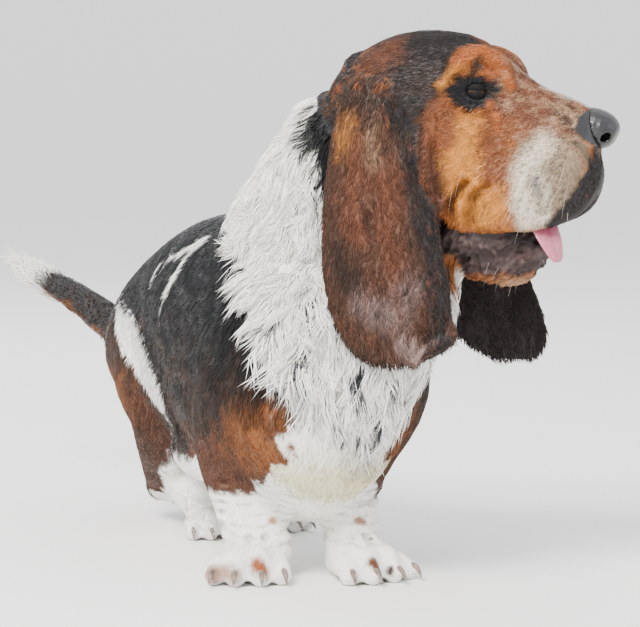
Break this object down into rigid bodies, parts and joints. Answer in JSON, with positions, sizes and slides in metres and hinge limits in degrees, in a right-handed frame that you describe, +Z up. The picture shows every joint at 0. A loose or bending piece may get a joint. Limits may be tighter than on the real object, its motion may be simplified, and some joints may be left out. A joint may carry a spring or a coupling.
{
  "type": "basset hound",
  "caption": "Life-size still model of a long-bodied, short-legged hound, half crouched on its four feet with the head turned to its left, for display or as a scene prop",
  "frame": {"origin": "on the floor under the middle of the bounding box, at the level of the soles", "axes": "+Z up; the body faces -Y and the tail points to +Y; +X is the dog's left. The head is turned 53 degrees to the dog's left."},
  "size_m": [0.3503, 1.0105, 0.532],
  "materials": {
    "black_coat": "short black and brown fur, slightly glossy",
    "tan_coat": "short tan and brown fur",
    "white_coat": "short white fur, longer on the neck and chest",
    "ear_coat": "short fine brown fur",
    "nose_leather": "moist black pebbled skin",
    "tongue_flesh": "moist pink skin",
    "eye_surface": "wet and dark brown"
  },
  "bodies": {
    "root": {"ear_left": "ear_coat", "ear_right": "ear_coat", "eye_left": "eye_surface", "eye_right": "eye_surface", "foreleg_left": "white_coat", "foreleg_right": "white_coat", "head": "tan_coat", "hindleg_left": "white_coat", "hindleg_right": "white_coat", "lower_jaw": "tan_coat", "neck": "white_coat", "nose": "nose_leather", "tail": "black_coat", "tongue": "tongue_flesh", "torso": "black_coat"}
  },
  "joints": []
}
